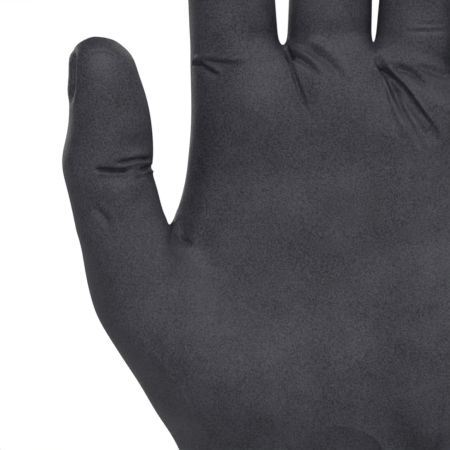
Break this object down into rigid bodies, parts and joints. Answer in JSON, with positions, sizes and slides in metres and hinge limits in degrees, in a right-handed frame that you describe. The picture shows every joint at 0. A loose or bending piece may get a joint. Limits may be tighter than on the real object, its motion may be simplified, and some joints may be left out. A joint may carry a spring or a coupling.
{
  "type": "exam glove",
  "caption": "Dark nitrile exam glove in its worn, open-handed shape: hollow stalls for the fingers and thumb, a palm and a flared cuff with a rolled bead.",
  "frame": {"origin": "centre of the cuff's mouth, level with the lowest point of the rolled bead", "axes": "+Z from the cuff to the fingertips, -Y out of the palm, -X towards the thumb"},
  "size_m": [0.12, 0.0583, 0.2397],
  "materials": {
    "nitrile": "matt charcoal nitrile with a fine grain"
  },
  "bodies": {
    "root": {"glove_film": "nitrile"}
  },
  "joints": []
}
